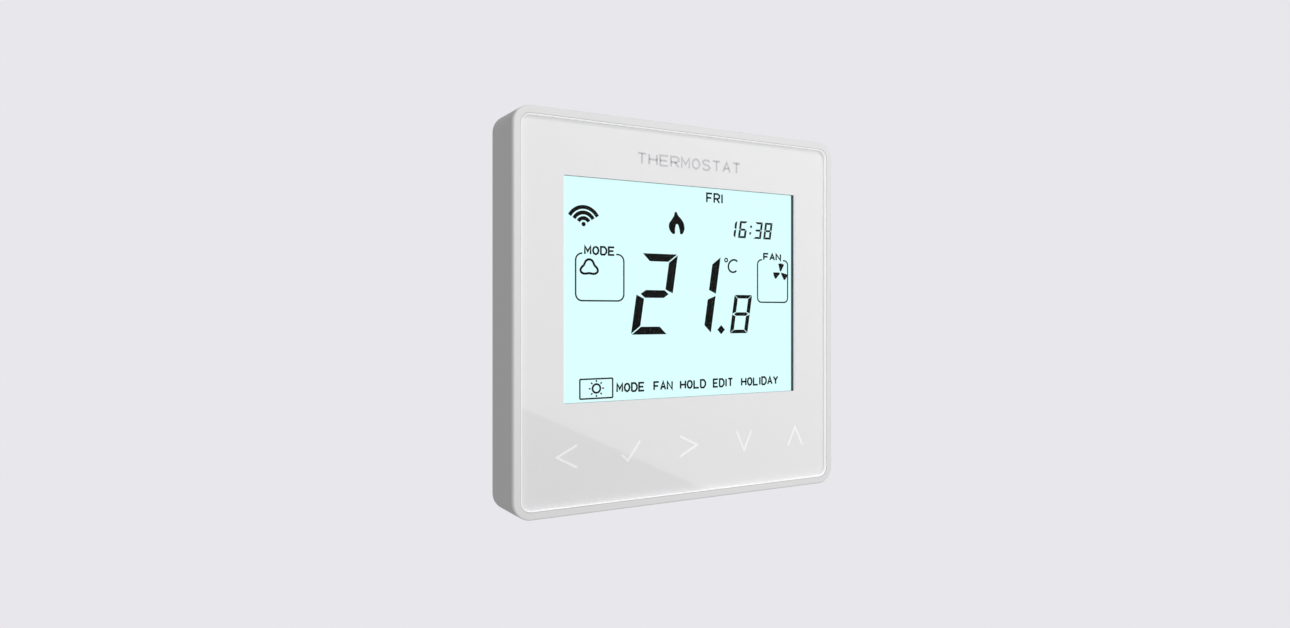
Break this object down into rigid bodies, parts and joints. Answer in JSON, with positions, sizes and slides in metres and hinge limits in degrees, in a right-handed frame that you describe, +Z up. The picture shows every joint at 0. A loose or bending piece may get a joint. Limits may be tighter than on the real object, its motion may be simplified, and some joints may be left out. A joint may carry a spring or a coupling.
{
  "type": "programmable room thermostat",
  "caption": "Square wall thermostat with a lit display, touch keys, a front half that swings off its back plate, and a rear box with rising-cage terminals.",
  "frame": {"origin": "on the wall surface, at the middle of the thermostat's square outline", "axes": "+X to the right as its user faces it, +Y into the wall, +Z up; the display faces -Y"},
  "size_m": [0.086, 0.031, 0.086],
  "materials": {
    "white_abs": "fine satin moulding",
    "grey_abs": "fine matt moulding",
    "clear_acrylic": "polished",
    "white_ink": "screen print behind acrylic",
    "adhesive": "matt film",
    "gasket_rubber": "moulded",
    "display_film": "lit display",
    "display_glass": "polished",
    "reflector_film": "white reflector",
    "guide_acrylic": "polished",
    "white_led": "moulded",
    "striped_rubber": "silicone",
    "circuit_board": "solder mask",
    "conductive_rubber": "moulded",
    "chip_epoxy": "moulded epoxy",
    "tinned_steel": "tinned",
    "cell_steel": "nickel plate",
    "sensor_epoxy": "dipped epoxy",
    "black_nylon": "moulded",
    "gold_pin": "gold flash",
    "zinc_screw": "zinc plate",
    "white_nylon": "moulded",
    "white_pc": "fine matt moulding",
    "relay_case": "moulded",
    "module_case": "potted",
    "fuse_case": "moulded",
    "surge_epoxy": "dipped epoxy",
    "film_case": "moulded",
    "capacitor_sleeve": "shrunk sleeve",
    "terminal_case": "moulded",
    "tinned_brass": "tin plate",
    "cage_steel": "zinc plate"
  },
  "bodies": {
    "wall_half": {"back_plate": "white_pc", "rear_box_screws": "zinc_screw", "rear_box": "white_pc", "power_board": "circuit_board", "power_board_screws": "zinc_screw", "power_module": "module_case", "fuse": "fuse_case", "surge_absorber": "surge_epoxy", "film_capacitor": "film_case", "smoothing_capacitor": "capacitor_sleeve", "board_socket": "black_nylon", "socket_pins": "gold_pin", "terminal_block": "terminal_case", "terminal_tongues": "tinned_brass", "relay_1": "relay_case", "relay_2": "relay_case", "relay_3": "relay_case", "relay_4": "relay_case"},
    "front_half": {"front_bezel": "white_abs", "front_lens": "clear_acrylic", "lens_print": "white_ink", "lens_tape": "adhesive", "display_gasket": "gasket_rubber", "lcd_front_polariser": "display_film", "lcd_front_glass": "display_glass", "lcd_rear_glass": "display_glass", "lcd_reflector": "reflector_film", "light_guide": "guide_acrylic", "backlight_leds": "white_led", "contact_strips": "striped_rubber", "control_board": "circuit_board", "touch_pads": "conductive_rubber", "processor": "chip_epoxy", "board_chips": "chip_epoxy", "radio_module": "tinned_steel", "clock_battery": "cell_steel", "battery_clip": "tinned_steel", "room_sensor": "sensor_epoxy", "pin_header": "black_nylon", "header_pins": "gold_pin", "control_board_screws": "zinc_screw", "front_case": "grey_abs"},
    "retaining_washer": {"retaining_washer": "white_nylon"},
    "retaining_screw": {"retaining_screw": "zinc_screw"},
    "terminal_screw_1": {"terminal_screw_1": "zinc_screw"},
    "clamp_cage_1": {"clamp_cage_1": "cage_steel"},
    "terminal_screw_2": {"terminal_screw_2": "zinc_screw"},
    "clamp_cage_2": {"clamp_cage_2": "cage_steel"},
    "terminal_screw_3": {"terminal_screw_3": "zinc_screw"},
    "clamp_cage_3": {"clamp_cage_3": "cage_steel"},
    "terminal_screw_4": {"terminal_screw_4": "zinc_screw"},
    "clamp_cage_4": {"clamp_cage_4": "cage_steel"},
    "terminal_screw_5": {"terminal_screw_5": "zinc_screw"},
    "clamp_cage_5": {"clamp_cage_5": "cage_steel"},
    "terminal_screw_6": {"terminal_screw_6": "zinc_screw"},
    "clamp_cage_6": {"clamp_cage_6": "cage_steel"},
    "terminal_screw_7": {"terminal_screw_7": "zinc_screw"},
    "clamp_cage_7": {"clamp_cage_7": "cage_steel"},
    "terminal_screw_8": {"terminal_screw_8": "zinc_screw"},
    "clamp_cage_8": {"clamp_cage_8": "cage_steel"}
  },
  "joints": [
    {"name": "front_swing", "type": "hinge", "parent": "wall_half", "child": "front_half", "pos_m": [0, -0.0026, 0.0412], "axis": [-1, 0, 0], "range_deg": [0, 15]},
    {"name": "retaining_travel", "type": "slide", "parent": "front_half", "child": "retaining_washer", "axis": [0, 0, 1], "range_m": [0, 0.00225]},
    {"name": "retaining_turn", "type": "hinge", "parent": "retaining_washer", "child": "retaining_screw", "pos_m": [0, -0.0036, -0.0422], "axis": [0, 0, 1], "range_deg": [0, 1801]},
    {"name": "terminal_turn_1", "type": "hinge", "parent": "wall_half", "child": "terminal_screw_1", "pos_m": [-0.01778, 0.0022, -0.0202], "axis": [0, 1, 0], "range_deg": [0, 1729]},
    {"name": "clamp_lift_1", "type": "slide", "parent": "wall_half", "child": "clamp_cage_1", "axis": [0, -1, 0], "range_m": [0, 0.0024]},
    {"name": "terminal_turn_2", "type": "hinge", "parent": "wall_half", "child": "terminal_screw_2", "pos_m": [-0.0127, 0.0022, -0.0202], "axis": [0, 1, 0], "range_deg": [0, 1729]},
    {"name": "clamp_lift_2", "type": "slide", "parent": "wall_half", "child": "clamp_cage_2", "axis": [0, -1, 0], "range_m": [0, 0.0024]},
    {"name": "terminal_turn_3", "type": "hinge", "parent": "wall_half", "child": "terminal_screw_3", "pos_m": [-0.00762, 0.0022, -0.0202], "axis": [0, 1, 0], "range_deg": [0, 1729]},
    {"name": "clamp_lift_3", "type": "slide", "parent": "wall_half", "child": "clamp_cage_3", "axis": [0, -1, 0], "range_m": [0, 0.0024]},
    {"name": "terminal_turn_4", "type": "hinge", "parent": "wall_half", "child": "terminal_screw_4", "pos_m": [-0.00254, 0.0022, -0.0202], "axis": [0, 1, 0], "range_deg": [0, 1729]},
    {"name": "clamp_lift_4", "type": "slide", "parent": "wall_half", "child": "clamp_cage_4", "axis": [0, -1, 0], "range_m": [0, 0.0024]},
    {"name": "terminal_turn_5", "type": "hinge", "parent": "wall_half", "child": "terminal_screw_5", "pos_m": [0.00254, 0.0022, -0.0202], "axis": [0, 1, 0], "range_deg": [0, 1729]},
    {"name": "clamp_lift_5", "type": "slide", "parent": "wall_half", "child": "clamp_cage_5", "axis": [0, -1, 0], "range_m": [0, 0.0024]},
    {"name": "terminal_turn_6", "type": "hinge", "parent": "wall_half", "child": "terminal_screw_6", "pos_m": [0.00762, 0.0022, -0.0202], "axis": [0, 1, 0], "range_deg": [0, 1729]},
    {"name": "clamp_lift_6", "type": "slide", "parent": "wall_half", "child": "clamp_cage_6", "axis": [0, -1, 0], "range_m": [0, 0.0024]},
    {"name": "terminal_turn_7", "type": "hinge", "parent": "wall_half", "child": "terminal_screw_7", "pos_m": [0.0127, 0.0022, -0.0202], "axis": [0, 1, 0], "range_deg": [0, 1729]},
    {"name": "clamp_lift_7", "type": "slide", "parent": "wall_half", "child": "clamp_cage_7", "axis": [0, -1, 0], "range_m": [0, 0.0024]},
    {"name": "terminal_turn_8", "type": "hinge", "parent": "wall_half", "child": "terminal_screw_8", "pos_m": [0.01778, 0.0022, -0.0202], "axis": [0, 1, 0], "range_deg": [0, 1729]},
    {"name": "clamp_lift_8", "type": "slide", "parent": "wall_half", "child": "clamp_cage_8", "axis": [0, -1, 0], "range_m": [0, 0.0024]}
  ],
  "couplings": [
    {"joint": "retaining_turn", "follows": "retaining_travel", "rad_per_m": 13963},
    {"joint": "terminal_turn_1", "follows": "clamp_lift_1", "rad_per_m": 12566},
    {"joint": "terminal_turn_2", "follows": "clamp_lift_2", "rad_per_m": 12566},
    {"joint": "terminal_turn_3", "follows": "clamp_lift_3", "rad_per_m": 12566},
    {"joint": "terminal_turn_4", "follows": "clamp_lift_4", "rad_per_m": 12566},
    {"joint": "terminal_turn_5", "follows": "clamp_lift_5", "rad_per_m": 12566},
    {"joint": "terminal_turn_6", "follows": "clamp_lift_6", "rad_per_m": 12566},
    {"joint": "terminal_turn_7", "follows": "clamp_lift_7", "rad_per_m": 12566},
    {"joint": "terminal_turn_8", "follows": "clamp_lift_8", "rad_per_m": 12566}
  ]
}
